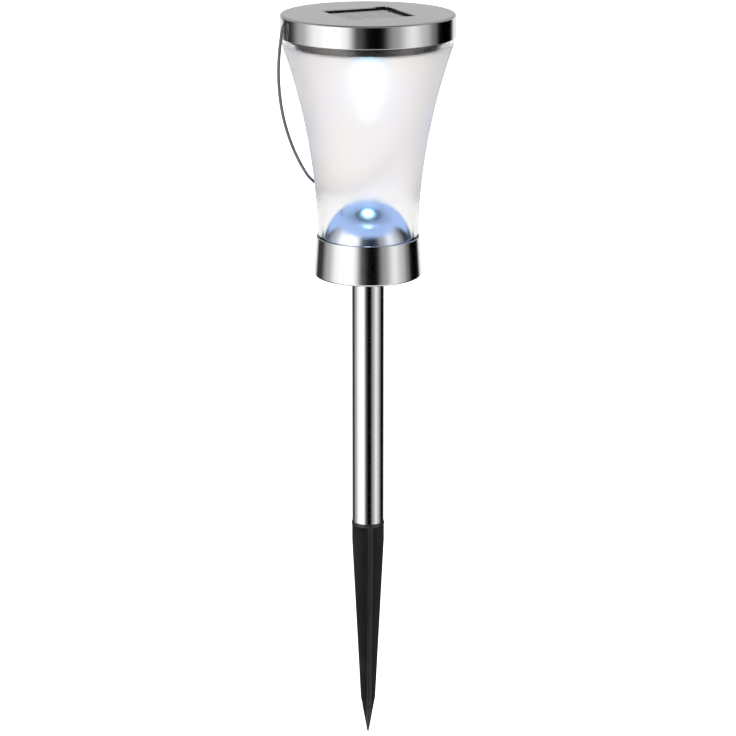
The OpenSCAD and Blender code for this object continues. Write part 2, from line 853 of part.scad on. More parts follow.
module case_screws() {
    color(steel)
        around(case_screw_r, case_screw_angles)
            translate([0, 0, case_z]) screw_up(case_screw_l);
}

module battery_cell() {
    body_l = battery_l - button_l;
    color([0.16, 0.45, 0.30])
        translate([-battery_l / 2, -battery_y, battery_z])
            rotate([0, 90, 0]) cylinder(d = battery_d, h = body_l);
}

module battery_button() {
    color(steel)
        translate([battery_l / 2 - button_l, -battery_y, battery_z])
            rotate([0, 90, 0]) cylinder(r = button_r, h = button_l);
}

module contact_plate() {
    color(steel)
        translate([battery_l / 2, -battery_y - contact_w / 2, battery_z - contact_w / 2]) {
            cube([contact_t, contact_w, contact_w]);
            translate([0, 0, contact_w - EPS]) cube([contact_room, contact_w, contact_t]);
        }
}

// Point of a cone spring whose radius goes from r0 to r1 along its length l
function spring_point(f, turns, l, r0, r1) =
    let (r = r0 + (r1 - r0) * f)
    [-l * f, r * cos(360 * turns * f), r * sin(360 * turns * f)];

module contact_spring() {
    spring_wire_r = 0.3;
    steps = 54;
    turns = 3.5;
    tip_coil_r = 2.2;
    base_coil_r = 3.2;
    wall_gap = 0.05;
    wall_x = -battery_l / 2 - contact_room;
    start_x = -battery_l / 2 - spring_wire_r - wall_gap;
    reach = start_x - wall_x - contact_t - 3 * wall_gap;
    route = [for (i = [0 : steps]) spring_point(i / steps, turns, reach, tip_coil_r, base_coil_r)];
    color(steel)
        translate([0, -battery_y, battery_z]) {
            translate([start_x, 0, 0]) wire(route, spring_wire_r);
            translate([wall_x + wall_gap, -contact_w / 2, -contact_w / 2])
                cube([contact_t, contact_w, contact_w]);
        }
}

// ---- Control board ----

module control_board() {
    color(board_green)
        difference() {
            translate([0, board_y, 0]) box(board_size, board_z);
            for (x = [-1, 1])
                translate([x * board_screw_x, board_y, board_z - 1]) cylinder(r = screw_hole_r, h = 4);
        }
}

module board_chip() {
    color([0.12, 0.12, 0.13])
        translate([-6, board_y + 2.5, 0]) {
            box([5, 3.8, 1.6], board_top_z + 0.1);
            for (x = [-1.9 : 1.27 : 2], y = [-1, 1])
                translate([x, y * 2.3, 0]) box([0.4, 1.2, 0.25], board_top_z);
        }
}

module board_inductor() {
    color([0.25, 0.45, 0.30])
        translate([0, board_y - 3, board_top_z + inductor_r])
            rotate([0, 90, 0]) {
                cylinder(r = inductor_r, h = inductor_l, center = true);
                cylinder(r = inductor_pin_r, h = inductor_l + 2 * inductor_pin_l, center = true, $fn = 24);
            }
}

module board_capacitor() {
    color([0.15, 0.16, 0.28])
        translate([6.5, board_y + 2.5, board_top_z]) cylinder(r = capacitor_r, h = capacitor_h);
}

module board_screws() {
    color(steel)
        for (x = [-1, 1])
            translate([x * board_screw_x, board_y, board_top_z + screw_head_t])
                mirror([0, 0, 1]) screw_up(board_screw_l + screw_head_t);
}

// ---- Leads ----

module panel_leads() {
    for (x = [-1, 1])
        color(x > 0 ? lead_red : black_plastic)
            wire(rounded([
                [x * panel_lead_x, panel_lead_y, panel_z],
                [x * panel_lead_x, panel_lead_y, tray_z - 1.5],
                [x * panel_lead_x, solder_y, board_top_z + 2],
                [x * panel_lead_x, solder_y, board_top_z]
            ], lead_bend), panel_lead_r);
}

module battery_leads() {
    wall_y = -battery_y + battery_room_w / 2 + room_wall;
    lead_z = board_top_z + 2.5;
    for (x = [-1, 1])
        color(x > 0 ? lead_red : black_plastic)
            wire(rounded([
                [x * 13.5, wall_y, lead_z],
                [x * 13.5, wall_y + 3, lead_z],
                [x * 10, solder_y - 3, lead_z],
                [x * 10, solder_y, lead_z],
                [x * 10, solder_y, board_top_z]
            ], lead_bend), lead_r);
}

// ---- LED and switch ----

module led_bezel() {
    neck_r = bezel_neck_r + bezel_wall;
    color(chrome)
        translate([0, 0, case_z])
            rotate_extrude()
                polygon([
                    [led_flange_r + led_drop, 0],
                    [neck_r, 0],
                    [bezel_d / 2, -bezel_h + bezel_lip],
                    [bezel_d / 2, -bezel_h],
                    [bezel_d / 2 - bezel_wall, -bezel_h],
                    [bezel_neck_r - led_drop, -led_flange_t - led_flange_w],
                    [led_flange_r + led_drop, -led_flange_t - led_flange_w]
                ]);
}

module led_bulb() {
    color([0.85, 0.95, 1.0, 0.6]) {
        translate([0, 0, led_seat_z - led_flange_t]) cylinder(r = led_flange_r, h = led_flange_t);
        translate([0, 0, led_tip_z + led_r]) cylinder(r = led_r, h = led_body_l - led_r);
        translate([0, 0, led_tip_z + led_r]) sphere(led_r);
    }
}

module led_leads() {
    color(steel)
        for (x = [-1, 1])
            wire(rounded([
                [x * led_lead_pitch / 2, 0, led_seat_z],
                [x * led_lead_pitch / 2, 0, case_floor_z + 3.2],
                [x * 5, solder_y - 3, board_top_z + 1.6],
                [x * 5, solder_y, board_top_z + 1.6],
                [x * 5, solder_y, board_top_z]
            ], led_lead_bend), led_lead_r);
}

module switch_body() {
    color([0.62, 0.63, 0.64])
        translate([0, switch_y, 0])
            difference() {
                box(switch_size, case_floor_z);
                box([knob_foot[0] + switch_travel + knob_gap, knob_foot[1] + knob_gap, 3], case_floor_z - 1);
            }
}

module switch_knob() {
    color([0.9, 0.9, 0.9])
        translate([knob_rest_x, switch_y, 0]) {
            box([knob_size[0], knob_size[1], knob_out + case_floor_t + 0.5], case_z - knob_out);
            box(knob_foot, case_floor_z + 0.1);
        }
}

// ---- Battery door ----

module battery_door() {
    color(black_plastic)
        difference() {
            union() {
                translate([0, -battery_y, 0]) plate([door_l, door_w, door_t], 1.2, case_z);
                translate([door_screw_x, -battery_y, case_z]) cylinder(r = door_ear_r, h = door_t);
            }
            translate([door_screw_x, -battery_y, case_z - 1]) {
                cylinder(r = screw_hole_r, h = door_t + 2);
                cylinder(r = head_hole_r, h = 1 + door_screw_sink);
            }
            // Finger grips
            for (x = [-6 : 3 : 6])
                translate([x, -battery_y, 0])
                    plate([1, door_w - 5, 0.4 + EPS], 0.45, case_z - EPS);
        }
}

module door_pad() {
    pad_z = case_z + door_t;
    pad_h = battery_z - battery_d / 2 - battery_lift / 2 - pad_z;
    color([0.25, 0.25, 0.27])
        translate([0, -battery_y, 0]) plate([battery_l / 2, 3, pad_h], 0.5, pad_z);
}

module door_screw() {
    color(steel)
        translate([door_screw_x, -battery_y, case_z + door_screw_sink - screw_head_t])
            screw_up(door_screw_l);
}

// ---- Bail ----

module bail_handle() {
    right = [for (p = half_bail) [p[0], 0, -p[1]]];
    left = [for (i = [half_count - 2 : -1 : 0]) [-half_bail[i][0], 0, -half_bail[i][1]]];
    color(steel)
        translate([0, 0, pivot_z])
            rotate([rest_lean, 0, 0]) {
                wire(concat(right, left), wire_r - 0.02, 12, [0, 1, 0]);
                for (a = [0, 180])
                    rotate([0, 0, a]) rotate([0, 90, 0]) {
                        translate([0, 0, pin_in_x]) cylinder(r = wire_r, h = pin_l);
                        translate([0, 0, pin_in_x]) cylinder(r = pin_head_r, h = pin_head_t);
                    }
            }
}

ground_spike();
pole();
collar();
base_insert();
collar_screws();
base_screws();
dome_reflector();
lens();
cap();
window_frame();
panel_resin();
solar_cells();
panel_board();
panel_tray();
rim_seal();
lens_o_ring();
module_case();
case_screws();
battery_cell();
battery_button();
contact_plate();
contact_spring();
control_board();
board_chip();
board_inductor();
board_capacitor();
board_screws();
panel_leads();
battery_leads();
led_bezel();
led_bulb();
led_leads();
switch_body();
switch_knob();
battery_door();
door_pad();
door_screw();
bail_handle();
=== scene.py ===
# %% [markdown]
# # A solar garden light, finished in Blender
# The construction comes from the CAD frame. This notebook gives each piece its surface, adds the
# fine pieces that only the eye needs, and sets up a plain studio. Blender works in metres here, and
# MM turns a size in millimetres, as a maker writes it, into metres.

# %% Load the frame
import bmesh
import bpy
from math import cos, pi, radians, sin
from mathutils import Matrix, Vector


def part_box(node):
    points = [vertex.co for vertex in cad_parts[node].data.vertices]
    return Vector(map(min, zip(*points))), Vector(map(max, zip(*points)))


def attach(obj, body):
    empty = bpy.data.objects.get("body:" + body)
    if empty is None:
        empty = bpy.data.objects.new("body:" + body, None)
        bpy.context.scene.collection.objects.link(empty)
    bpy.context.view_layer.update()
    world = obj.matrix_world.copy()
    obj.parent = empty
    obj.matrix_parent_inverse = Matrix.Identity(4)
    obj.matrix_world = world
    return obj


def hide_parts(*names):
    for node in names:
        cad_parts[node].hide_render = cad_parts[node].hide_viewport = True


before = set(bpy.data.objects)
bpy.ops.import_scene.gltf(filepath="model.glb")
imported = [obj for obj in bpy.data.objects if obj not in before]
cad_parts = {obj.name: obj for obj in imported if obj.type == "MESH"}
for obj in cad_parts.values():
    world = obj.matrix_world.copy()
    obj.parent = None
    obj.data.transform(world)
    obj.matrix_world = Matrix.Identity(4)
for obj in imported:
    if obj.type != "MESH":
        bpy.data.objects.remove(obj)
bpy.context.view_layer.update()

MM = 0.001


# %% [markdown]
# ## Reading sizes from the frame
# A maker measures the casting before cutting the trim. The sizes could be typed in a second time,
# but then they would drift apart. The boxes of the CAD nodes give the radii and heights that the
# added pieces have to meet, so the frame stays the only place that holds them.

# %% Sizes that several pieces share
def top_of(node):
    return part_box(node)[1].z


def foot_of(node):
    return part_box(node)[0].z


CAP_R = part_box("cap")[1].x
LENS_FOOT_Z = foot_of("lens")
CASE_FOOT_Z = foot_of("module_case")
SPIKE_TIP_Z = foot_of("ground_spike")
print("cap radius %.2f, lens foot at %.2f, case foot at %.2f, spike tip at %.2f mm" % (
    CAP_R / MM, LENS_FOOT_Z / MM, CASE_FOOT_Z / MM, SPIKE_TIP_Z / MM))

# %% [markdown]
# ## The camera
# The object is seen from slightly above with a long lens, turned a little off its bail's axis.
# A camera can be placed by hand or by numbers. Two angles and a distance are chosen here, because
# the view can then be read at a glance and the studio can be turned to face it.

# %% Camera
VIEW_AZIMUTH = radians(-24)
VIEW_ELEVATION = radians(15.78)
VIEW_DISTANCE = 1.576
VIEW_TARGET_Z = 0.0936
FOCAL_LENGTH_MM = 131.95
SENSOR_MM = 36

towards_camera = Vector((
    sin(VIEW_AZIMUTH) * cos(VIEW_ELEVATION),
    -cos(VIEW_AZIMUTH) * cos(VIEW_ELEVATION),
    sin(VIEW_ELEVATION),
))
camera_data = bpy.data.cameras.new("studio_camera")
camera_data.lens = FOCAL_LENGTH_MM
camera_data.sensor_width = SENSOR_MM
camera = bpy.data.objects.new("studio_camera", camera_data)
camera.location = Vector((0, 0, VIEW_TARGET_Z)) + VIEW_DISTANCE * towards_camera
camera.rotation_euler = towards_camera.to_track_quat("Z", "Y").to_euler()
bpy.context.scene.collection.objects.link(camera)
bpy.context.scene.camera = camera
bpy.context.scene.view_settings.view_transform = "Standard"
print("camera at", [round(v, 3) for v in camera.location])

# %% [markdown]
# ## Helpers for node trees
# Materials, the studio's room and the geometry trees are all graphs of nodes. Written out in full,
# each node takes several lines. With one helper that adds a node, sets it and joins its inputs, a
# graph reads like a short recipe. An input is given either a value or another node's output.

# %% One node, one sum
def add(tree, kind, inputs=None, **settings):
    node = tree.nodes.new(kind)
    for name, value in settings.items():
        setattr(node, name, value)
    for name, value in (inputs or {}).items():
        socket = node.inputs[name]
        if isinstance(value, bpy.types.NodeSocket):
            tree.links.new(value, socket)
        else:
            socket.default_value = value
    return node


def calc(tree, operation, a, b=0.0, c=0.0):
    return add(tree, "ShaderNodeMath", {0: a, 1: b, 2: c}, operation=operation).outputs[0]


def vector_calc(tree, operation, a, b):
    return add(tree, "ShaderNodeVectorMath", {0: a, 1: b}, operation=operation).outputs


def grey(level):
    return (level, level, level, 1)


print("grey(0.5) is", grey(0.5))

# %% Mixes and steps
MIX_FACTOR, MIX_A, MIX_B, MIX_RESULT = 0, 6, 7, 2   # the colour sockets of a Mix node


def mix_color(tree, factor, a, b):
    inputs = {MIX_FACTOR: factor, MIX_A: a, MIX_B: b}
    node = add(tree, "ShaderNodeMix", inputs, data_type="RGBA", blend_type="MIX")
    return node.outputs[MIX_RESULT]


def mix_value(tree, factor, a, b):
    return calc(tree, "MULTIPLY_ADD", factor, calc(tree, "SUBTRACT", b, a), a)


def smooth_step(tree, value, low, high, to_low=0.0, to_high=1.0):
    return add(tree, "ShaderNodeMapRange", {
        "Value": value, "From Min": low, "From Max": high, "To Min": to_low, "To Max": to_high},
        interpolation_type="SMOOTHSTEP").outputs["Result"]


print("a colour mix joins sockets", MIX_A, "and", MIX_B)

# %% Noise that stays on the piece
def place(tree):
    """Where a point lies on the object, so that a pattern moves with its piece."""
    return add(tree, "ShaderNodeTexCoord").outputs["Object"]


def noise(tree, where, scale, detail=2.0):
    inputs = {"Vector": where, "Scale": scale, "Detail": detail}
    return add(tree, "ShaderNodeTexNoise", inputs).outputs["Fac"]


def swing(tree, pattern, amount):
    """A pattern of 0 to 1 turned into plus or minus half the amount."""
    return calc(tree, "MULTIPLY", calc(tree, "SUBTRACT", pattern, 0.5), amount)


def shader_group(name, inputs, outputs):
    """An empty shader node group, with (name, kind, default) inputs and (name, kind) outputs."""
    tree = bpy.data.node_groups.new(name, "ShaderNodeTree")
    for label, kind, default in inputs:
        tree.interface.new_socket(label, in_out="INPUT", socket_type=kind).default_value = default
    for label, kind in outputs:
        tree.interface.new_socket(label, in_out="OUTPUT", socket_type=kind)
    return tree, tree.nodes.new("NodeGroupInput"), tree.nodes.new("NodeGroupOutput")


print("helpers for noise and groups are ready")

# %% [markdown]
# ## The studio
# Bright metal shows its room, not itself. A product studio lights a steel tube with tall softboxes
# and keeps the gaps between them dark, which is what makes a cylinder read as round. The softboxes
# could be real lamps, but each would also light the floor and the lens. The room is drawn on the
# world background instead, by compass angle and height, and only mirror rays see it. Everything
# else sees an even white room.

# %% Strips of the room
# (compass angle in degrees, 0 in front of the object, and how bright the wall is there)
STRIPS = [
    (-180, 1.0), (-150, 1.0), (-139, 0.04), (-120, 0.04), (-96, 0.5), (-70, 1.2), (-44, 1.6),
    (-30, 1.2), (-13, 0.10), (2, 0.0), (18, 0.0), (36, 0.4), (60, 1.05), (80, 0.6), (96, 0.2),
    (106, 0.0), (136, 0.0), (150, 1.0), (180, 1.0),
]


def wall_color(tree, compass):
    """The wall's brightness, from a ramp that runs once round the room."""
    turn = calc(tree, "MULTIPLY_ADD", compass, 0.5 / pi, 0.5)
    walls = add(tree, "ShaderNodeValToRGB", {"Fac": turn})
    walls.color_ramp.interpolation = "EASE"
    stops = walls.color_ramp.elements
    while len(stops) > 1:
        stops.remove(stops[0])
    stops[0].position = 0
    stops[0].color = grey(STRIPS[0][1])
    for angle, level in STRIPS[1:]:
        stops.new(angle / 360 + 0.5).color = grey(level)
    return walls.outputs["Color"]


print("the room has", len(STRIPS), "brightness stops")

# %% Compass and height
def compass_and_height(tree):
    """The compass angle of a ray, 0 in front of the object, and its angle above the horizon."""
    direction = add(tree, "ShaderNodeTexCoord").outputs["Generated"]
    front = Vector((sin(VIEW_AZIMUTH), -cos(VIEW_AZIMUTH), 0))
    right = Vector((cos(VIEW_AZIMUTH), sin(VIEW_AZIMUTH), 0))
    up = Vector((0, 0, 1))
    forward, sideways, upward = (
        vector_calc(tree, "DOT_PRODUCT", direction, axis)["Value"] for axis in (front, right, up))
    return calc(tree, "ARCTAN2", sideways, forward), calc(tree, "ARCSINE", upward)


print("the room's front faces azimuth", round(VIEW_AZIMUTH, 3), "radians")

# %% [markdown]
# Above its strips the room is dim, and its floor is bright in front and dark behind. Rays that are
# mirrored in the open see this room. So do rays that are mirrored inside the lens, which have
# crossed its two surfaces on the way in and again on the way out, and to them the upper room is
# the lens's own blue glow. The Light Path node tells these rays apart.

# %% Levels of the room
BEHIND = (radians(95), radians(130))         # the compass angles where the room turns to its back
UPPER_LEVELS = (0.34, 0.40)                  # above the strips: in front, behind
STRIPS_FADE_FRONT = (radians(26), radians(38))
STRIPS_FADE_BACK = (radians(0), radians(12))
CEILING_FADE, CEILING_LEVEL = (radians(50), radians(70)), 0.12
FLOOR_FADE, FLOOR_LEVELS = (radians(-34), radians(-58)), (0.95, 0.1)
INSIDE_GLOW = (0.46, 0.64, 1.0, 1)


def room_level(tree, from_inside):
    compass, height = compass_and_height(tree)
    behind = smooth_step(tree, calc(tree, "ABSOLUTE", compass), *BEHIND)
    upper = mix_color(tree, behind, *(grey(level) for level in UPPER_LEVELS))
    ceiling = smooth_step(tree, height, *CEILING_FADE)
    upper = mix_color(tree, ceiling, upper, grey(CEILING_LEVEL))
    upper = mix_color(tree, from_inside, upper, INSIDE_GLOW)
    fade_from, fade_to = (
        mix_value(tree, behind, *angles) for angles in zip(STRIPS_FADE_FRONT, STRIPS_FADE_BACK))
    faded = smooth_step(tree, height, fade_from, fade_to)
    level = mix_color(tree, faded, wall_color(tree, compass), upper)
    floor_level = mix_color(tree, behind, *(grey(level) for level in FLOOR_LEVELS))
    return mix_color(tree, smooth_step(tree, height, *FLOOR_FADE), level, floor_level)


print("levels above the strips:", UPPER_LEVELS, "and of the floor:", FLOOR_LEVELS)

# %% World
IN_AND_OUT = 3.5     # more crossings than this: in through the lens and out
IN_OPEN = 0.5        # fewer than this: the ray met no lens


def studio_world():
    world = bpy.data.worlds.new("studio")
    world.use_nodes = True
    world.cycles.sampling_method = "NONE"
    tree = world.node_tree
    tree.nodes.clear()
    path = add(tree, "ShaderNodeLightPath").outputs
    from_inside = calc(tree, "GREATER_THAN", path["Transmission Depth"], IN_AND_OUT)
    mirrored = calc(tree, "MINIMUM", path["Glossy Depth"], 1.0)
    in_open = calc(tree, "LESS_THAN", path["Transmission Depth"], IN_OPEN)
    drawn = calc(tree, "MULTIPLY", mirrored, calc(tree, "ADD", in_open, from_inside))
    seen = mix_color(tree, drawn, grey(1.0), room_level(tree, from_inside))
    shade = add(tree, "ShaderNodeBackground", {"Color": seen, "Strength": 1.0})
    end = add(tree, "ShaderNodeOutputWorld")
    tree.links.new(shade.outputs[0], end.inputs["Surface"])
    bpy.context.scene.world = world
    return len(tree.nodes)


print("the room is drawn with", studio_world(), "nodes")

# %% [markdown]
# The floor is a plain white sweep. It glows a little, so that it stays even and the room has no
# horizon line. Mirror rays pass through it to the drawn room, and from below it is clear, so that
# the underside of the light can be looked at too.

# %% Floor material
FLOOR_WHITE = 0.9
FLOOR_ROUGHNESS = 0.9
FLOOR_GLOW = 0.75


def floor_material():
    paint = bpy.data.materials.new("studio_floor")
    paint.use_nodes = True
    tree = paint.node_tree
    shader = tree.nodes["Principled BSDF"]
    shader.inputs["Base Color"].default_value = grey(FLOOR_WHITE)
    shader.inputs["Roughness"].default_value = FLOOR_ROUGHNESS
    shader.inputs["Emission Color"].default_value = grey(1)
    shader.inputs["Emission Strength"].default_value = FLOOR_GLOW
    below = add(tree, "ShaderNodeNewGeometry").outputs["Backfacing"]
    clear = add(tree, "ShaderNodeBsdfTransparent").outputs["BSDF"]
    either = add(tree, "ShaderNodeMixShader", {0: below, 1: shader.outputs["BSDF"], 2: clear})
    tree.links.new(either.outputs["Shader"], tree.nodes["Material Output"].inputs["Surface"])
    return paint


print("the floor glows at strength", FLOOR_GLOW)

# %% Floor
FLOOR_SIDE = 30
FLOOR_GAP = 0.5 * MM


def studio_floor():
    mesh = bpy.data.meshes.new("studio_floor")
    side, z = FLOOR_SIDE, SPIKE_TIP_Z - FLOOR_GAP
    corners = [(-side, -side, z), (side, -side, z), (side, side, z), (-side, side, z)]
    mesh.from_pydata(corners, [], [(0, 1, 2, 3)])
    mesh.materials.append(floor_material())
    floor = bpy.data.objects.new("studio_floor", mesh)
    bpy.context.scene.collection.objects.link(floor)
    floor.visible_glossy = False
    floor.visible_transmission = False
    return z


print("floor at %.2f mm" % (studio_floor() / MM))

# %% [markdown]
# Two large softboxes light what isn't mirror: a stronger key on one side and a fill on the other,
# so that the black plastic and the frosted lens have a light side and a shaded one. Mirror rays
# don't see them, because the drawn room already holds every reflection.

# %% Softboxes
LIGHT_TARGET = (0, 0, 0.1)
SOFTBOXES = [   # name, place, (width, height), power in watts
    ("key_softbox", (-1.4, -1.2, 1.3), (0.9, 1.2), 14),
    ("fill_softbox", (1.6, -0.7, 0.9), (0.8, 1.4), 8),
]


def softbox(name, stand, size, power):
    data = bpy.data.lights.new(name, "AREA")
    data.shape = "RECTANGLE"
    data.size, data.size_y = size
    data.energy = power
    light = bpy.data.objects.new(name, data)
    light.location = stand
    aim = Vector(stand) - Vector(LIGHT_TARGET)
    light.rotation_euler = aim.to_track_quat("Z", "Y").to_euler()
    light.visible_glossy = False
    light.visible_transmission = False
    light.visible_camera = False
    bpy.context.scene.collection.objects.link(light)


for name, stand, size, power in SOFTBOXES:
    softbox(name, stand, size, power)
    print(name, power, "W")

# %% [markdown]
# ## Shared finishes
# Two effects come back on many pieces, and each is a node group that is built once. The first is
# the fine lines that a brushing belt leaves on steel. An image could hold them, but noise that is
# stretched along the belt's path has no edges or repeats, and one input turns the lines: round a
# cap, or along a pole.

# %% Brushed lines
LINE_DETAIL = 3.0
SMEAR_SCALE = 60.0       # broad patches where the belt pressed harder
SMEAR_ROUGHNESS = 0.08
LINE_ROUGHNESS = 0.6     # how much of the lines' contrast the roughness takes up


def brushed_group():
    tree, start, end = shader_group(
        "brushed_lines",
        [("Stretch", "NodeSocketVector", (1, 1, 1)), ("Contrast", "NodeSocketFloat", 0.1),
         ("Roughness", "NodeSocketFloat", 0.25), ("Tone", "NodeSocketColor", grey(0.7))],
        [("Color", "NodeSocketColor"), ("Roughness", "NodeSocketFloat"),
         ("Height", "NodeSocketFloat")],
    )
    given = start.outputs
    where = place(tree)
    lines = noise(tree, vector_calc(tree, "MULTIPLY", where, given["Stretch"])[0], 1.0, LINE_DETAIL)
    smears = noise(tree, where, SMEAR_SCALE)
    contrast = swing(tree, lines, given["Contrast"])
    tone = add(tree, "ShaderNodeVectorMath", {
        0: given["Tone"], "Scale": calc(tree, "ADD", 1.0, contrast)}, operation="SCALE")
    uneven = calc(tree, "ADD", swing(tree, smears, SMEAR_ROUGHNESS),
                  calc(tree, "MULTIPLY", contrast, LINE_ROUGHNESS))
    tree.links.new(tone.outputs[0], end.inputs["Color"])
    tree.links.new(calc(tree, "ADD", given["Roughness"], uneven), end.inputs["Roughness"])
    tree.links.new(lines, end.inputs["Height"])
    return tree


BRUSHED = brushed_group()
print("brushed_lines has", len(BRUSHED.nodes), "nodes")

# %% [markdown]
# The second effect is a moulded surface. A steel mould is spark-eroded, and the plastic copies its
# fine grain. Outdoors it also gathers a thin haze of dust in patches. Grain and haze are both
# noise, at two scales that lie far apart.

# %% Moulded grain
HAZE_SCALE, HAZE_DETAIL = 45.0, 3.0
HAZE_FROM, HAZE_FULL = 0.45, 0.75
HAZE_LIFT = (0.012, 0.012, 0.012)
HAZE_ROUGHNESS = 0.25


def moulded_group():
    tree, start, end = shader_group(
        "moulded_grain",
        [("Grain", "NodeSocketFloat", 2500.0), ("Roughness", "NodeSocketFloat", 0.45),
         ("Tone", "NodeSocketColor", grey(0.03)), ("Dust", "NodeSocketFloat", 0.3)],
        [("Color", "NodeSocketColor"), ("Roughness", "NodeSocketFloat"),
         ("Height", "NodeSocketFloat")],
    )
    given = start.outputs
    where = place(tree)
    grain = noise(tree, where, given["Grain"])
    cloud = noise(tree, where, HAZE_SCALE, HAZE_DETAIL)
    haze = calc(tree, "MULTIPLY", smooth_step(tree, cloud, HAZE_FROM, HAZE_FULL), given["Dust"])
    paler = vector_calc(tree, "ADD", given["Tone"], HAZE_LIFT)[0]
    rough = calc(tree, "ADD", given["Roughness"], swing(tree, cloud, HAZE_ROUGHNESS))
    tree.links.new(mix_color(tree, haze, given["Tone"], paler), end.inputs["Color"])
    tree.links.new(rough, end.inputs["Roughness"])
    tree.links.new(grain, end.inputs["Height"])
    return tree


MOULDED = moulded_group()
print("moulded_grain has", len(MOULDED.nodes), "nodes")

# %% [markdown]
# ## Materials
# Each finish is a Principled shader with plain numbers on its own sockets, and one of the groups
# where the surface varies. The bump distances are real ones: a brushing line is microns deep.

# %% Material helpers
def material(name, **values):
    made = bpy.data.materials.new(name)
    made.use_nodes = True
    shader = made.node_tree.nodes["Principled BSDF"]
    for label, value in values.items():
        shader.inputs[label.replace("_", " ")].default_value = value
    return made, made.node_tree, shader


def bump(tree, shader, height, depth):
    node = add(tree, "ShaderNodeBump", {"Height": height, "Distance": depth, "Strength": 1.0})
    tree.links.new(node.outputs["Normal"], shader.inputs["Normal"])


def grouped(name, group, inputs, depth, **values):
    """A material whose colour, roughness and bump come from one of the shared groups."""
    made, tree, shader = material(name, **values)
    node = add(tree, "ShaderNodeGroup", node_tree=group)
    for label, value in inputs.items():
        node.inputs[label].default_value = value
    tree.links.new(node.outputs["Color"], shader.inputs["Base Color"])
    tree.links.new(node.outputs["Roughness"], shader.inputs["Roughness"])
    bump(tree, shader, node.outputs["Height"], depth)
    return made


print("helpers for materials are ready")

# %% [markdown]
# The cap and collar are turned on a lathe and brushed as they spin, so their lines run round and
# are squeezed in height. The pole is drawn through a belt, so its lines run along it. Wires, screws
# and contacts are too small to show lines, and get an even sparkle. The dome and the LED's cone are
# plated plastic, which is smooth. The cone is a little blue. The dome's blue tone is painted light:
# it stands in for the LED's blue light that falls on the dome.

# %% Metals
LINE_DEPTH = 0.000004
PLATING_DEPTH = 0.000002
ROUND = (500, 500, 2600)
ALONG = (2500, 2500, 40)
STEEL = (0.78, 0.78, 0.79, 1)
PALE_STEEL = (0.74, 0.74, 0.745, 1)
DRAWN_STEEL = (0.20, 0.20, 0.21, 1)


def even(scale):
    return (scale, scale, scale)


def brushed(name, tone, roughness, stretch, contrast, depth=LINE_DEPTH):
    inputs = {"Tone": tone, "Roughness": roughness, "Stretch": stretch, "Contrast": contrast}
    return grouped(name, BRUSHED, inputs, depth, Metallic=1.0)


CAP_STEEL = brushed("cap_steel", PALE_STEEL, 0.12, ROUND, 0.16)
COLLAR_STEEL = brushed("collar_steel", STEEL, 0.15, ROUND, 0.12)
POLE_STEEL = brushed("pole_steel", STEEL, 0.13, ALONG, 0.10)
WIRE_STEEL = brushed("wire_steel", DRAWN_STEEL, 0.22, even(900), 0.1)
SCREW_STEEL = brushed("screw_steel", (0.6, 0.6, 0.62, 1), 0.3, even(1500), 0.2)
CONTACT_METAL = brushed("contact_nickel", (0.72, 0.71, 0.66, 1), 0.24, even(1200), 0.15)
SWITCH_METAL = brushed("switch_tin", (0.65, 0.65, 0.66, 1), 0.35, even(900), 0.2)
SILVER = brushed("cell_silver", (0.72, 0.73, 0.75, 1), 0.4, even(1500), 0.1)
# painted light: the dome's blue tone stands in for the blue LED light on it, not for a blue plating
DOME_CHROME_PAINTED_LED_LIGHT = brushed("dome_chrome_painted_led_light", (0.84, 0.89, 0.98, 1), 0.17, even(150), 0.05, PLATING_DEPTH)
BEZEL_CHROME = brushed("bezel_chrome", (0.86, 0.87, 0.9, 1), 0.12, even(150), 0.05, PLATING_DEPTH)
print("steel lines are %.0f microns deep" % (LINE_DEPTH / MM * 1000))

# %% [markdown]
# The plastics differ in how fine their grain is, how deep, and how much dust they hold. The case of
# the light unit is glossier than the rest, because it shows through the lens's clear rim: a clear
# coat over the black does that. Rubber and foam are the dullest.

# %% Plastics and rubbers
FINE_GRAIN, MOULD_GRAIN, SPIKE_GRAIN, FOAM_GRAIN = 0.00001, 0.00002, 0.00003, 0.0001
CLEAN, DUSTY = 0.0, 0.3


def moulded(name, tone, roughness, grain=2500.0, depth=FINE_GRAIN, dust=CLEAN, **values):
    inputs = {"Tone": tone, "Roughness": roughness, "Grain": grain, "Dust": dust}
    return grouped(name, MOULDED, inputs, depth, **values)


BLACK_PLASTIC = moulded("black_plastic", (0.011, 0.011, 0.012, 1), 0.42, 2500.0, MOULD_GRAIN, DUSTY)
SPIKE_PLASTIC = moulded("spike_plastic", (0.009, 0.009, 0.010, 1), 0.36, 1800.0, SPIKE_GRAIN, DUSTY)
CASE_PLASTIC = moulded(
    "case_plastic", (0.02, 0.02, 0.022, 1), 0.3, 2500.0, MOULD_GRAIN, DUSTY,
    Coat_Weight=1.0, Coat_Roughness=0.12, Coat_IOR=1.9)
FOAM = moulded("closed_cell_foam", (0.004, 0.004, 0.004, 1), 0.85, 3000.0, FOAM_GRAIN)
SILICONE = moulded("silicone", (0.06, 0.06, 0.065, 1), 0.55, 900.0, dust=0.1)
KNOB_PLASTIC = moulded("knob_plastic", (0.72, 0.72, 0.70, 1), 0.4)
LEAD_RED = moulded("lead_red", (0.45, 0.02, 0.02, 1), 0.35, 1500.0)
LEAD_BLACK = moulded("lead_black", (0.012, 0.012, 0.012, 1), 0.35, 1500.0)
print("plastic grain is", FINE_GRAIN, "to", FOAM_GRAIN, "m deep")

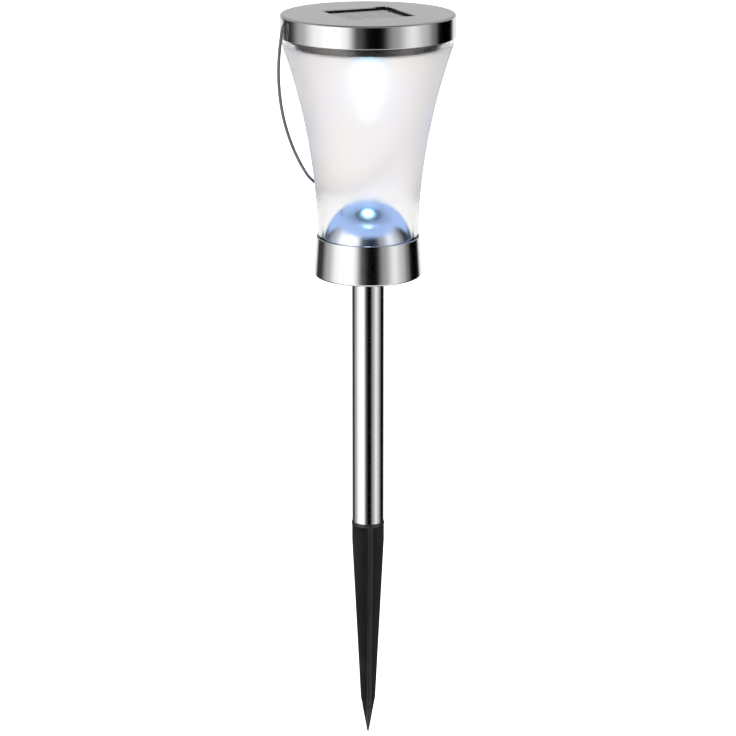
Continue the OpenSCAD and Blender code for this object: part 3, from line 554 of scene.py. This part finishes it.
# %% Boards and sleeves
BOARD_GREEN = moulded("solder_mask", (0.015, 0.11, 0.035, 1), 0.3, 700.0, dust=0.1)
BOARD_WHITE = moulded("white_laminate", (0.72, 0.73, 0.72, 1), 0.5, 1200.0)
CHIP_BLACK = moulded("chip_package", (0.015, 0.015, 0.016, 1), 0.55, 4000.0)
INDUCTOR = moulded("inductor_lacquer", (0.05, 0.16, 0.08, 1), 0.35, 1500.0)
SLEEVE_BLUE = moulded("capacitor_sleeve", (0.02, 0.03, 0.12, 1), 0.25, 500.0, Coat_Weight=0.3)
SLEEVE_GREEN = moulded("battery_sleeve", (0.03, 0.22, 0.09, 1), 0.25, 500.0, Coat_Weight=0.4)
print(len(bpy.data.materials), "materials so far")

# %% [markdown]
# The lens is clear plastic whose inside was frosted from the top down, and left clear at the foot
# so that the dome can be seen. It could be two pieces with two materials, but the frost has no
# edge. One shader does both: it transmits everywhere, and its roughness rises with height.

# %% Frosted lens
LENS_IOR = 1.22
FROST_START, FROST_FULL = 19 * MM, 43 * MM    # above the lens's foot
RIM_START, RIM_FULL = 0.5 * MM, 4.5 * MM      # above the case's foot
CLEAR_ROUGH, FROST_ROUGH = 0.05, 0.52
SPECK_SCALE, SPECK_SWING = 900.0, 0.04
TINT_SCALE, TINT_FROM, TINT_TO = 28.0, 0.4, 0.6
LILAC, CREAM = (0.965, 0.955, 0.98, 1), (0.98, 0.955, 0.935, 1)
CLEAR_TINT = grey(0.985)


def frosted_material():
    made, tree, shader = material("frosted_lens", Transmission_Weight=1.0, IOR=LENS_IOR)
    where = place(tree)
    height = add(tree, "ShaderNodeSeparateXYZ", {0: where}).outputs["Z"]

    # Clear at the foot, frosted on the flare and clear again at the rim
    rising = smooth_step(tree, height, LENS_FOOT_Z + FROST_START, LENS_FOOT_Z + FROST_FULL,
                         CLEAR_ROUGH, FROST_ROUGH)
    rim = smooth_step(tree, height, CASE_FOOT_Z + RIM_START, CASE_FOOT_Z + RIM_FULL)
    rough = mix_value(tree, rim, rising, CLEAR_ROUGH)
    specks = swing(tree, noise(tree, where, SPECK_SCALE), SPECK_SWING)
    tree.links.new(calc(tree, "ADD", rough, specks), shader.inputs["Roughness"])

    # The plastic's own tint drifts between lilac and cream
    drift = noise(tree, where, TINT_SCALE, 1.0)
    milk = mix_color(tree, smooth_step(tree, drift, TINT_FROM, TINT_TO), LILAC, CREAM)
    frosted = smooth_step(tree, height, LENS_FOOT_Z, LENS_FOOT_Z + FROST_FULL)
    tree.links.new(mix_color(tree, frosted, CLEAR_TINT, milk), shader.inputs["Base Color"])
    return made


LENS_FROST = frosted_material()
print("frost from %.0f to %.0f mm above the lens's foot" % (FROST_START / MM, FROST_FULL / MM))

# %% [markdown]
# The LED's epoxy glows almost white in the middle and blue at its edge, because any eye saturates
# on it. A strong blue emission does that by itself.

# %% Glowing epoxy
LED_BLUE = (0.34, 0.66, 1.0)
LED_STRENGTH = 5.0
EPOXY_WHITE = (0.8, 0.9, 1, 1)
EPOXY_SPECKS, EPOXY_SPECK_RANGE, EPOXY_ROUGH = 800.0, (0.2, 0.8), (0.05, 0.12)


def glowing(name, color, strength, **values):
    made, tree, shader = material(
        name, Emission_Color=color, Emission_Strength=strength, **values)
    speck = noise(tree, place(tree), EPOXY_SPECKS)
    rough = smooth_step(tree, speck, *EPOXY_SPECK_RANGE, *EPOXY_ROUGH)
    tree.links.new(rough, shader.inputs["Roughness"])
    return made


LED_GLOW = glowing("led_epoxy", (*LED_BLUE, 1), LED_STRENGTH, Base_Color=EPOXY_WHITE)
print("the LED glows at strength", LED_STRENGTH)

# %% [markdown]
# The LED throws most of its light straight down, in a beam that lights the dome and fades on the
# way. A beam in clear air has nothing to show it, so a spot lamp alone would leave the lens dark.
# A row of small lamps down the axis stands for the light that the frosted wall scatters back.

# %% LED beam
THROW_DROP, THROW_R, THROW_POWER = 3 * MM, 2.0 * MM, 0.9
THROW_ANGLE, THROW_BLEND = radians(46), 0.6
BEAM = [   # (distance below the tip in mm, radius in mm, power in watts)
    (6, 1.2, 0.004), (10, 1.4, 0.004), (15, 1.5, 0.0035), (21, 1.2, 0.0016), (29, 1.0, 0.0007),
]


def led_lamp(name, kind, drop, radius, power):
    """A small lamp on the LED's axis, some way below its tip."""
    data = bpy.data.lights.new(name, kind)
    data.energy = power
    data.color = LED_BLUE
    data.shadow_soft_size = radius
    lamp = bpy.data.objects.new(name, data)
    lamp.location = (0, 0, foot_of("led_bulb") - drop)
    lamp.visible_camera = False
    bpy.context.scene.collection.objects.link(lamp)
    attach(lamp, "head")
    return data


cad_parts["led_bulb"].visible_shadow = False
throw = led_lamp("led_throw", "SPOT", THROW_DROP, THROW_R, THROW_POWER)
throw.spot_size = THROW_ANGLE
throw.spot_blend = THROW_BLEND
for step, (drop, radius, power) in enumerate(BEAM):
    led_lamp("led_beam_%d" % step, "POINT", drop * MM, radius * MM, power)
print("beam of", len(BEAM), "lamps")

# %% [markdown]
# The panel is four silicon cells under cast resin. The resin is a clear slab with a faint ripple
# and a hard, shiny skin. Each silicon crystal turns the light a little differently, so the cells
# are patches of blue-black, and Voronoi noise gives exactly such patches.

# %% Resin
RESIN_CLEAR = (0.93, 0.94, 0.95, 1)
RIPPLE_SCALE, RIPPLE_DEPTH = 120.0, 0.00001
RIPPLE_RANGE, RIPPLE_ROUGH = (0.3, 0.7), (0.10, 0.16)


def resin_material():
    made, tree, shader = material(
        "cast_resin", Base_Color=RESIN_CLEAR, Transmission_Weight=1.0, IOR=1.55,
        Coat_Weight=1.0, Coat_Roughness=0.08, Coat_IOR=1.7)
    ripple = noise(tree, place(tree), RIPPLE_SCALE)
    rough = smooth_step(tree, ripple, *RIPPLE_RANGE, *RIPPLE_ROUGH)
    tree.links.new(rough, shader.inputs["Roughness"])
    bump(tree, shader, ripple, RIPPLE_DEPTH)
    return made


RESIN = resin_material()
print("resin ripples are about %.0f mm long" % (1 / RIPPLE_SCALE / MM))

# %% Silicon
CRYSTAL_SCALE = 240.0
DARK_CRYSTAL, PALE_CRYSTAL = (0.010, 0.014, 0.05, 1), (0.022, 0.035, 0.11, 1)
CRYSTAL_ROUGH = (0.25, 0.4)


def silicon_material():
    made, tree, shader = material("silicon_cells", Metallic=0.3, Coat_Weight=0.4)
    crystals = add(tree, "ShaderNodeTexVoronoi", {"Vector": place(tree), "Scale": CRYSTAL_SCALE})
    tint = add(tree, "ShaderNodeSeparateColor", {0: crystals.outputs["Color"]}).outputs[0]
    color = mix_color(tree, tint, DARK_CRYSTAL, PALE_CRYSTAL)
    tree.links.new(color, shader.inputs["Base Color"])
    tree.links.new(smooth_step(tree, tint, 0, 1, *CRYSTAL_ROUGH), shader.inputs["Roughness"])
    return made


SILICON = silicon_material()
print("crystals are about %.0f mm across" % (1 / CRYSTAL_SCALE / MM))

# %% [markdown]
# ## Dressing the CAD nodes
# A node whose shape is right stays as it is and only gets a better surface. One table says which
# finish each node has, so a missing one is easy to spot.

# %% Node finishes
FINISHES = {
    "pole": POLE_STEEL, "collar": COLLAR_STEEL, "cap": CAP_STEEL, "ground_spike": SPIKE_PLASTIC,
    "base_insert": BLACK_PLASTIC, "collar_screws": SCREW_STEEL, "base_screws": SCREW_STEEL,
    "dome_reflector": DOME_CHROME_PAINTED_LED_LIGHT, "lens": LENS_FROST, "window_frame": FOAM,
    "panel_resin": RESIN, "solar_cells": SILICON, "panel_board": BOARD_WHITE,
    "panel_tray": BLACK_PLASTIC, "rim_seal": SILICONE, "lens_o_ring": SILICONE,
    "module_case": CASE_PLASTIC, "case_screws": SCREW_STEEL, "battery_cell": SLEEVE_GREEN,
    "battery_button": CONTACT_METAL, "contact_plate": CONTACT_METAL,
    "contact_spring": CONTACT_METAL, "control_board": BOARD_GREEN, "board_chip": CHIP_BLACK,
    "board_inductor": INDUCTOR, "board_capacitor": SLEEVE_BLUE, "board_screws": SCREW_STEEL,
    "panel_leads": LEAD_RED, "battery_leads": LEAD_BLACK, "led_bezel": BEZEL_CHROME,
    "led_bulb": LED_GLOW, "led_leads": CONTACT_METAL, "switch_body": SWITCH_METAL,
    "switch_knob": KNOB_PLASTIC, "battery_door": CASE_PLASTIC, "door_pad": FOAM,
    "door_screw": SCREW_STEEL, "bail_handle": WIRE_STEEL,
}


def dress(node, finish):
    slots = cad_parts[node].data.materials
    for index in range(len(slots)):
        slots[index] = finish


for node, finish in FINISHES.items():
    dress(node, finish)
print("dressed", len(FINISHES), "of", len(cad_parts), "nodes")

# %% [markdown]
# ## Wire, drawn by a geometry tree
# The handle and the leads are all the same thing to a maker: a round wire that follows a route.
# Each could be a curve object of its own. One Geometry Nodes tree draws them all instead. It takes
# the route as a line of points, rounds its corners, sweeps a circle along it and caps the ends.
# The thickness is an attribute of the points, so an end that is upset into a head needs no piece
# of its own.

# %% Beginning and end of a geometry tree
def geometry_group(name, inputs):
    """An empty geometry tree, with (name, kind) inputs after the geometry itself."""
    tree = bpy.data.node_groups.new(name, "GeometryNodeTree")
    tree.interface.new_socket("Geometry", in_out="INPUT", socket_type="NodeSocketGeometry")
    for label, kind in inputs:
        tree.interface.new_socket(label, in_out="INPUT", socket_type=kind)
    tree.interface.new_socket("Geometry", in_out="OUTPUT", socket_type="NodeSocketGeometry")
    return tree, tree.nodes.new("NodeGroupInput").outputs, tree.nodes.new("NodeGroupOutput")


def finish_tree(tree, end, geometry, finish):
    """The end that every geometry tree here has: real mesh, with its material."""
    real = add(tree, "GeometryNodeRealizeInstances", {"Geometry": geometry}).outputs["Geometry"]
    set_finish = add(tree, "GeometryNodeSetMaterial", {"Geometry": real, "Material": finish})
    tree.links.new(set_finish.outputs["Geometry"], end.inputs["Geometry"])
    return tree


print("helpers for geometry trees are ready")

# %% The wire tree
CORNER_POINTS = 6


def wire_tree():
    tree, start, end = geometry_group("swept_wire", [
        ("Corner", "NodeSocketFloat"), ("Sides", "NodeSocketInt"),
        ("Finish", "NodeSocketMaterial")])
    line = add(tree, "GeometryNodeMeshToCurve", {"Mesh": start["Geometry"]})
    rounded = add(tree, "GeometryNodeFilletCurve", {
        "Curve": line.outputs["Curve"], "Radius": start["Corner"], "Count": CORNER_POINTS,
        "Limit Radius": True}, mode="POLY")
    thickness = add(tree, "GeometryNodeInputNamedAttribute", {"Name": "thickness"},
                    data_type="FLOAT")
    circle = add(tree, "GeometryNodeCurvePrimitiveCircle", {
        "Resolution": start["Sides"], "Radius": 1.0})
    swept = add(tree, "GeometryNodeCurveToMesh", {
        "Curve": rounded.outputs["Curve"], "Profile Curve": circle.outputs["Curve"],
        "Scale": thickness.outputs["Attribute"], "Fill Caps": True})
    smooth = add(tree, "GeometryNodeSetShadeSmooth", {"Geometry": swept.outputs["Mesh"]})
    return finish_tree(tree, end, smooth.outputs["Geometry"], start["Finish"])


WIRE_TREE = wire_tree()
print("swept_wire has", len(WIRE_TREE.nodes), "nodes")

# %% [markdown]
# A tree runs as a modifier. Its result is read back as a plain mesh and the modifier is removed, so
# every finished piece is an ordinary object at the origin, as a CAD node's is.

# %% Running a tree
def run_tree(name, mesh, tree, **inputs):
    """The plain mesh that a geometry tree makes of a starting mesh, as an object at the origin."""
    seed = bpy.data.objects.new(name + "_seed", mesh)
    bpy.context.scene.collection.objects.link(seed)
    modifier = seed.modifiers.new("tree", "NODES")
    modifier.node_group = tree
    for item in tree.interface.items_tree:
        if item.in_out == "INPUT" and item.name in inputs:
            modifier[item.identifier] = inputs[item.name]
    depsgraph = bpy.context.evaluated_depsgraph_get()
    made = bpy.data.meshes.new_from_object(seed.evaluated_get(depsgraph))
    seed.modifiers.remove(modifier)
    bpy.data.objects.remove(seed)
    made.name = name
    piece = bpy.data.objects.new(name, made)
    bpy.context.scene.collection.objects.link(piece)
    print(name, "has", len(made.polygons), "faces")
    return piece


print("a tree's result becomes a plain mesh")

# %% Wires along routes
def wire_piece(name, routes, corner, finish, sides):
    """Wires along routes, each a list of (place in metres, radius)."""
    points, edges, radii = [], [], []
    for route in routes:
        first = len(points)
        points += [point for point, radius in route]
        radii += [radius for point, radius in route]
        edges += [(i, i + 1) for i in range(first, len(points) - 1)]
    mesh = bpy.data.meshes.new(name + "_route")
    mesh.from_pydata(points, edges, [])
    mesh.attributes.new("thickness", "FLOAT", "POINT").data.foreach_set("value", radii)
    return run_tree(name, mesh, WIRE_TREE, Corner=corner, Sides=sides, Finish=finish)


print("helpers for wires are ready")

# %% [markdown]
# ## The bail
# The handle is one steel wire bent in a plane: a pin with an upset head inside the cap, a tight
# bend, a long gently curved leg, and a round bottom. A bender makes it from three radii a side, and
# so does this route. It is drawn upright, then leaned to where it hangs.

# %% Sizes of the bail
WIRE_R = 0.9 * MM
SIDE_GAP = 0.65 * MM
PIN_INNER_X = 47.25 * MM
PIN_HEAD_R, PIN_HEAD_T = 1.4 * MM, 0.8 * MM
HEAD_CHAMFER, HEAD_FILLET = 0.12 * MM, 0.05 * MM
HEAD_FACE = 0.85                              # the head's flat face, as a part of its radius
TIGHT_BEND_R, TIGHT_BEND_STEPS = 2 * MM, 8
LEG_BEND_R, LEG_STEPS = 150 * MM, 40
LEG_START, LEG_END = radians(86), radians(124)
BOTTOM_STEPS = 24
HANG_LEAN = radians(18)
PIVOT_Z = 298.2 * MM
BAIL_SIDES = 20
print("bail wire is %.1f mm thick" % (2 * WIRE_R / MM))

# %% Route of the bail
def arc_points(start, radius, heading_from, heading_to, count):
    """Points along an arc that leaves start at one heading and ends at another."""
    turns = [heading_from + (heading_to - heading_from) * i / count for i in range(1, count + 1)]
    return [(start[0] + radius * (sin(a) - sin(heading_from)),
             start[1] + radius * (cos(heading_from) - cos(a))) for a in turns]


def hung(x, drop):
    """A point of the upright bail, leaned to where it hangs."""
    return Vector((x, sin(HANG_LEAN) * drop, PIVOT_Z - cos(HANG_LEAN) * drop))


def bail_route():
    half = [(CAP_R + SIDE_GAP + WIRE_R - TIGHT_BEND_R, 0.0)]
    half += arc_points(half[-1], TIGHT_BEND_R, 0, LEG_START, TIGHT_BEND_STEPS)
    half += arc_points(half[-1], LEG_BEND_R, LEG_START, LEG_END, LEG_STEPS)
    bottom_r = half[-1][0] / sin(LEG_END)
    half += arc_points(half[-1], bottom_r, LEG_END, pi, BOTTOM_STEPS)
    pin = [(PIN_INNER_X, PIN_HEAD_R * HEAD_FACE), (PIN_INNER_X + HEAD_CHAMFER, PIN_HEAD_R),
           (PIN_INNER_X + PIN_HEAD_T - HEAD_FILLET, PIN_HEAD_R), (PIN_INNER_X + PIN_HEAD_T, WIRE_R)]
    right = [((x, 0.0), r) for x, r in pin] + [(point, WIRE_R) for point in half]
    left = [((-x, drop), r) for (x, drop), r in reversed(right[:-1])]
    return [(hung(x, drop), r) for (x, drop), r in right + left]


print("bail route has", len(bail_route()), "points")

# %% Bail
bail = wire_piece("bail_wire", [bail_route()], 0.0, WIRE_STEEL, BAIL_SIDES)
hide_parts("bail_handle")
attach(bail, "bail")
print("lowest point of the bail at %.1f mm" % (min(v.co.z for v in bail.data.vertices) / MM))

# %% [markdown]
# ## The leads
# Thin insulated leads join the panel and the battery to the board, red for the positive side and
# black for the other. Each runs straight off its first pad, bends over and ends on a pad of the
# board. The same tree draws them from a few corner points, and rounds the corners as a soft lead
# does by itself.

# %% Sizes of the leads, in millimetres
PANEL_LEAD_X, PANEL_LEAD_R = 1.1, 0.5
PANEL_PAD_Y = 9
BATTERY_LEAD_X, BATTERY_LEAD_R = 13.5, 0.6
BATTERY_PAD_X = 10
SOLDER_Y = 13.4              # the row of solder pads on the board
PANEL_LEAD_RISE = 2
BATTERY_LEAD_RISE = 2.5
BEND_BELOW_TRAY = 1.5
APPROACH = 3                 # how far a lead runs straight before its bend
LEAD_SIDES = 12
BOARD_TOP = top_of("control_board") / MM
PANEL_Z = top_of("panel_leads") / MM
BEND_Z = foot_of("panel_tray") / MM - BEND_BELOW_TRAY
WALL_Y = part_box("battery_leads")[0].y / MM
print("leads come down %.1f mm from panel to board" % (PANEL_Z - BOARD_TOP))

# %% Leads
def in_metres(route, radius):
    return [(Vector(point) * MM, radius * MM) for point in route]


def lead_routes(side):
    panel_x, battery_x, pad_x = PANEL_LEAD_X * side, BATTERY_LEAD_X * side, BATTERY_PAD_X * side
    panel = [(panel_x, PANEL_PAD_Y, PANEL_Z), (panel_x, PANEL_PAD_Y, BEND_Z),
             (panel_x, SOLDER_Y, BOARD_TOP + PANEL_LEAD_RISE), (panel_x, SOLDER_Y, BOARD_TOP)]
    high = BOARD_TOP + BATTERY_LEAD_RISE
    battery = [(battery_x, WALL_Y, high), (battery_x, WALL_Y + APPROACH, high),
               (pad_x, SOLDER_Y - APPROACH, high), (pad_x, SOLDER_Y, high),
               (pad_x, SOLDER_Y, BOARD_TOP)]
    return [in_metres(panel, PANEL_LEAD_R), in_metres(battery, BATTERY_LEAD_R)]


for side, name, finish in ((1, "leads_red", LEAD_RED), (-1, "leads_black", LEAD_BLACK)):
    leads = wire_piece(name, lead_routes(side), 1 * MM, finish, LEAD_SIDES)
    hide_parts("panel_leads", "battery_leads")
    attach(leads, "head")

# %% [markdown]
# The LED stands on two bare legs, which leave its epoxy at the usual pitch of a tenth of an inch
# and spread towards their pads. They are thin tinned wire, so they get tighter corners.

# %% LED legs
LEG_PIN_X, LEG_R = 1.27, 0.25
LEG_RISE = 4.9
LEG_PAD_X = 5
LEG_OVER_BOARD = 1.6
LEG_CORNER, LEG_SIDES = 0.7 * MM, 10
LEG_FOOT = foot_of("led_leads") / MM


def leg_route(side):
    pin_x, pad_x, over = LEG_PIN_X * side, LEG_PAD_X * side, BOARD_TOP + LEG_OVER_BOARD
    return in_metres([
        (pin_x, 0, LEG_FOOT), (pin_x, 0, LEG_FOOT + LEG_RISE), (pad_x, SOLDER_Y - APPROACH, over),
        (pad_x, SOLDER_Y, over), (pad_x, SOLDER_Y, BOARD_TOP)], LEG_R)


legs = wire_piece("led_legs", [leg_route(-1), leg_route(1)], LEG_CORNER, CONTACT_METAL, LEG_SIDES)
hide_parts("led_leads")
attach(legs, "head")

# %% [markdown]
# ## Fingers on the cells
# Each cell carries fine silver fingers that gather its current, and a broad busbar across them.
# They could be drawn in the silicon's material, but they stand proud of it and catch the light.
# They repeat at one pitch, so a tree lays a row of thin bars along a line and makes them real.

# %% Bar tree
def bars_tree():
    tree, start, end = geometry_group("bar_row", [
        ("Count", "NodeSocketInt"), ("Pitch", "NodeSocketVector"), ("Start", "NodeSocketVector"),
        ("Size", "NodeSocketVector"), ("Finish", "NodeSocketMaterial")])
    row = add(tree, "GeometryNodeMeshLine", {
        "Count": start["Count"], "Start Location": start["Start"], "Offset": start["Pitch"]})
    bar = add(tree, "GeometryNodeMeshCube", {"Size": start["Size"]})
    placed = add(tree, "GeometryNodeInstanceOnPoints", {
        "Points": row.outputs["Mesh"], "Instance": bar.outputs["Mesh"]})
    return finish_tree(tree, end, placed.outputs["Instances"], start["Finish"])


BARS_TREE = bars_tree()


def bar_row(name, count, start, pitch, size):
    empty = bpy.data.meshes.new(name + "_start")
    return run_tree(name, empty, BARS_TREE, Count=count, Start=tuple(start), Pitch=tuple(pitch),
                    Size=tuple(size), Finish=SILVER)


print("bar_row has", len(BARS_TREE.nodes), "nodes")

# %% Fingers and busbars
CELLS = 4
CELL_MARGIN = 0.6 * MM       # bare silicon at a bar's two ends together
FINGER_W, FINGER_T = 0.12 * MM, 0.03 * MM
FINGER_PITCH = 1.25 * MM
BUSBAR_W, BUSBAR_T = 0.9 * MM, FINGER_T * 1.4

low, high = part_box("solar_cells")
span = high - low
middle_x, middle_y = (low.x + high.x) / 2, (low.y + high.y) / 2
count = int(span.y / FINGER_PITCH)
first_y = low.y + (span.y - (count - 1) * FINGER_PITCH) / 2
fingers = bar_row("cell_fingers", count, (middle_x, first_y, high.z), (0, FINGER_PITCH, 0),
                  (span.x - CELL_MARGIN, FINGER_W, FINGER_T))
busbars = bar_row("cell_busbars", CELLS, (low.x + span.x / (2 * CELLS), middle_y, high.z),
                  (span.x / CELLS, 0, 0), (BUSBAR_W, span.y - CELL_MARGIN, BUSBAR_T))
for piece in (fingers, busbars):
    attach(piece, "head")
print(count, "fingers and", CELLS, "busbars")

# %% [markdown]
# ## The ground spike
# A moulded part never has a truly sharp edge. The rounding could be done in CAD, but it is far
# smaller than the part and would slow every cut. So the CAD shape is copied, its loose triangles
# are merged, and a narrow bevel rounds every edge, which is what catches the light on black
# plastic.

# %% Rounded spike
EDGE_WIDTH = 0.25 * MM
EDGE_SEGMENTS = 2
SHARP_FROM = radians(35)
MERGE_DISTANCE = 0.001 * MM
FLAT_WITHIN = radians(1)


def rounded_copy(name, node):
    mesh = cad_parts[node].data.copy()
    shell = bmesh.new()
    shell.from_mesh(mesh)
    bmesh.ops.remove_doubles(shell, verts=shell.verts, dist=MERGE_DISTANCE)
    bmesh.ops.dissolve_limit(shell, angle_limit=FLAT_WITHIN, verts=shell.verts, edges=shell.edges)
    shell.to_mesh(mesh)
    shell.free()
    piece = bpy.data.objects.new(name, mesh)
    bpy.context.scene.collection.objects.link(piece)
    bevel = piece.modifiers.new("bevel", "BEVEL")
    bevel.width = EDGE_WIDTH
    bevel.segments = EDGE_SEGMENTS
    bevel.angle_limit = SHARP_FROM
    bevel.harden_normals = True
    return piece


spike = rounded_copy("spike_body", "ground_spike")
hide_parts("ground_spike")
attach(spike, "stake")
print("spike has", len(spike.data.polygons), "faces before its bevel")
